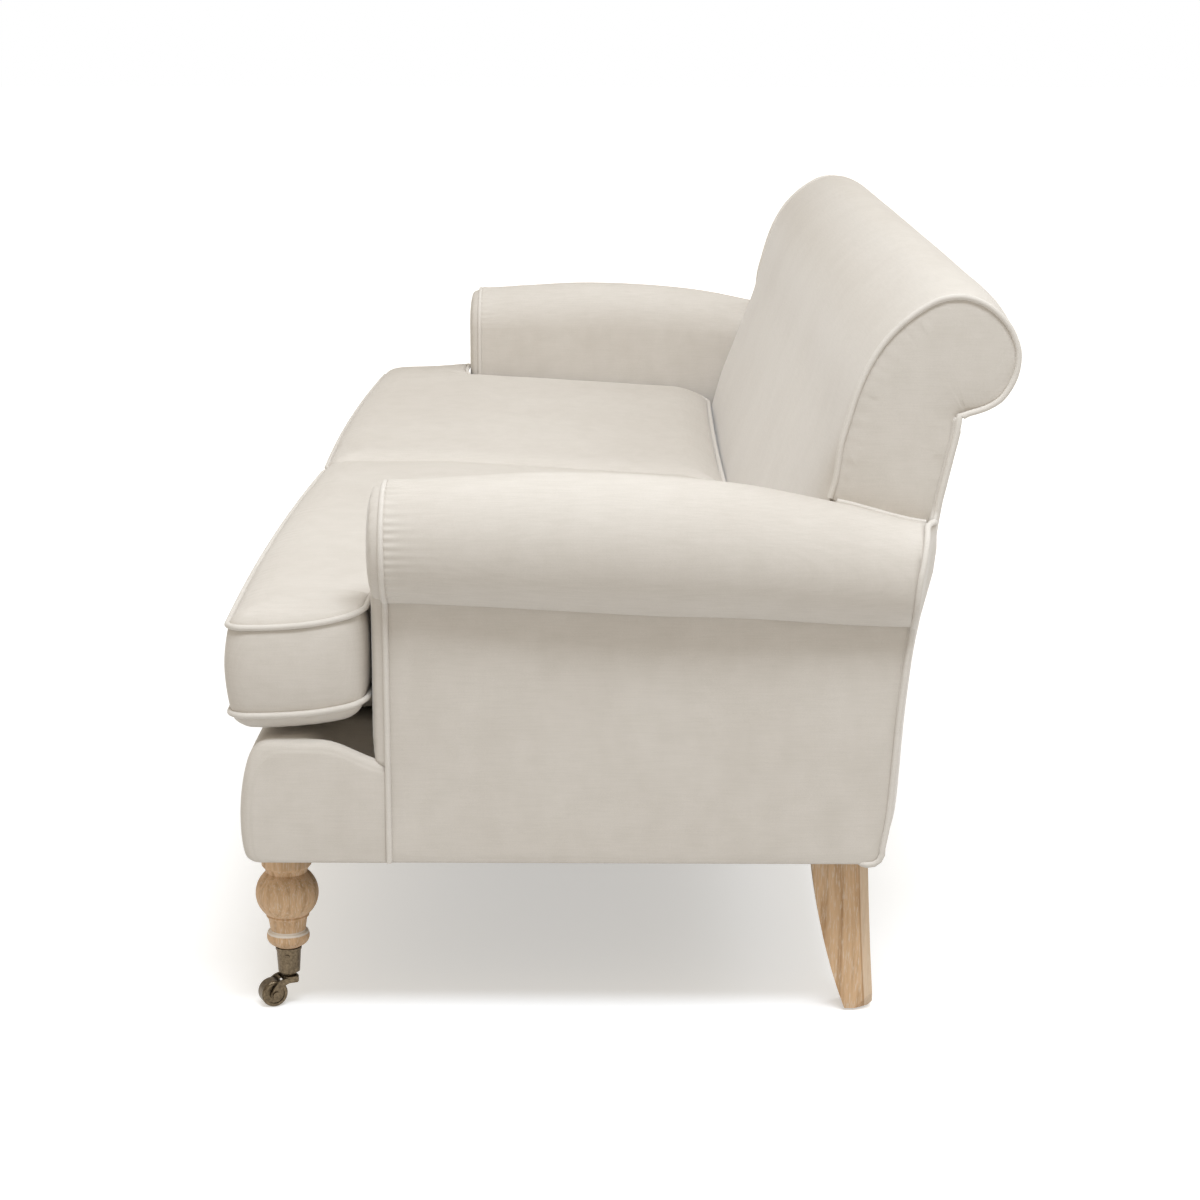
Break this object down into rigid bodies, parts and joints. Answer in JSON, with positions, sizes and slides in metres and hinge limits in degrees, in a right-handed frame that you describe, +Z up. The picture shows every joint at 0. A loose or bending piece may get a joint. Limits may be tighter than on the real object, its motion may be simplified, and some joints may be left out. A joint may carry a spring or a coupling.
{
  "type": "sofa",
  "caption": "Roll-arm sofa with a tight scroll-over back, loose boxed half-T seat cushions with welts, turned front legs on cup casters and sabre rear legs",
  "frame": {"origin": "on the floor, under the middle of the whole sofa", "axes": "+X along the sofa to a sitter's left, +Y from the front to the back, +Z up"},
  "size_m": [2.2002, 0.9041, 0.851],
  "materials": {
    "ivory_velvet": "cut-pile velvet, ivory, soft sheen",
    "deck_cloth": "plain woven platform cloth",
    "dust_cloth": "black non-woven",
    "webbing_cloth": "elastic woven webbing",
    "frame_timber": "sawn hardwood, unfinished",
    "limed_oak": "limed oak, matt",
    "caster_bronze": "antique bronze, darkened",
    "bolt_steel": "zinc plated",
    "glide_plastic": "moulded nylon"
  },
  "bodies": {
    "sofa": {"back_tack_rail": "frame_timber", "back_top_rail": "frame_timber", "back_webbing": "webbing_cloth", "caster_cup_screws": "caster_bronze", "corner_blocks": "frame_timber", "dust_cover": "dust_cloth", "front_border": "ivory_velvet", "front_seat_rail": "frame_timber", "inside_back_pad": "ivory_velvet", "left_arm_facing": "ivory_velvet", "left_arm_front_board": "frame_timber", "left_arm_pad": "ivory_velvet", "left_arm_stump": "frame_timber", "left_arm_tack_rail": "frame_timber", "left_arm_top_rail": "frame_timber", "left_back_end_panel": "ivory_velvet", "left_back_post": "frame_timber", "left_caster_cup": "caster_bronze", "left_front_leg": "limed_oak", "left_outside_arm_panel": "ivory_velvet", "left_rear_leg": "limed_oak", "left_side_rail": "frame_timber", "leg_hanger_bolts": "bolt_steel", "middle_back_posts": "frame_timber", "outside_back_panel": "ivory_velvet", "rear_leg_glides": "glide_plastic", "rear_seat_rail": "frame_timber", "right_arm_facing": "ivory_velvet", "right_arm_front_board": "frame_timber", "right_arm_pad": "ivory_velvet", "right_arm_stump": "frame_timber", "right_arm_tack_rail": "frame_timber", "right_arm_top_rail": "frame_timber", "right_back_end_panel": "ivory_velvet", "right_back_post": "frame_timber", "right_caster_cup": "caster_bronze", "right_front_leg": "limed_oak", "right_outside_arm_panel": "ivory_velvet", "right_rear_leg": "limed_oak", "right_side_rail": "frame_timber", "seat_deck": "deck_cloth", "seat_stretchers": "frame_timber", "seat_webbing": "webbing_cloth"},
    "left_caster": {"left_caster_horn": "caster_bronze", "left_caster_axle": "caster_bronze"},
    "left_wheel": {"left_caster_wheel": "caster_bronze"},
    "right_caster": {"right_caster_horn": "caster_bronze", "right_caster_axle": "caster_bronze"},
    "right_wheel": {"right_caster_wheel": "caster_bronze"},
    "left_cushion": {"left_seat_cushion": "ivory_velvet"},
    "right_cushion": {"right_seat_cushion": "ivory_velvet"}
  },
  "joints": [
    {"name": "left_caster_swivel", "type": "hinge", "parent": "sofa", "child": "left_caster", "pos_m": [0.97, -0.393, 0.04], "axis": [0, 0, 1], "continuous": true},
    {"name": "left_wheel_roll", "type": "hinge", "parent": "left_caster", "child": "left_wheel", "pos_m": [0.97888, -0.41203, 0.016], "axis": [0.9063, 0.4226, 0], "continuous": true},
    {"name": "right_caster_swivel", "type": "hinge", "parent": "sofa", "child": "right_caster", "pos_m": [-0.97, -0.393, 0.04], "axis": [0, 0, 1], "continuous": true},
    {"name": "right_wheel_roll", "type": "hinge", "parent": "right_caster", "child": "right_wheel", "pos_m": [-0.97888, -0.41203, 0.016], "axis": [-0.9063, 0.4226, 0], "continuous": true},
    {"name": "left_cushion_lift", "type": "slide", "parent": "sofa", "child": "left_cushion", "axis": [0, -0.342, 0.9397], "range_m": [0, 0.35]},
    {"name": "right_cushion_lift", "type": "slide", "parent": "sofa", "child": "right_cushion", "axis": [0, -0.342, 0.9397], "range_m": [0, 0.35]}
  ]
}
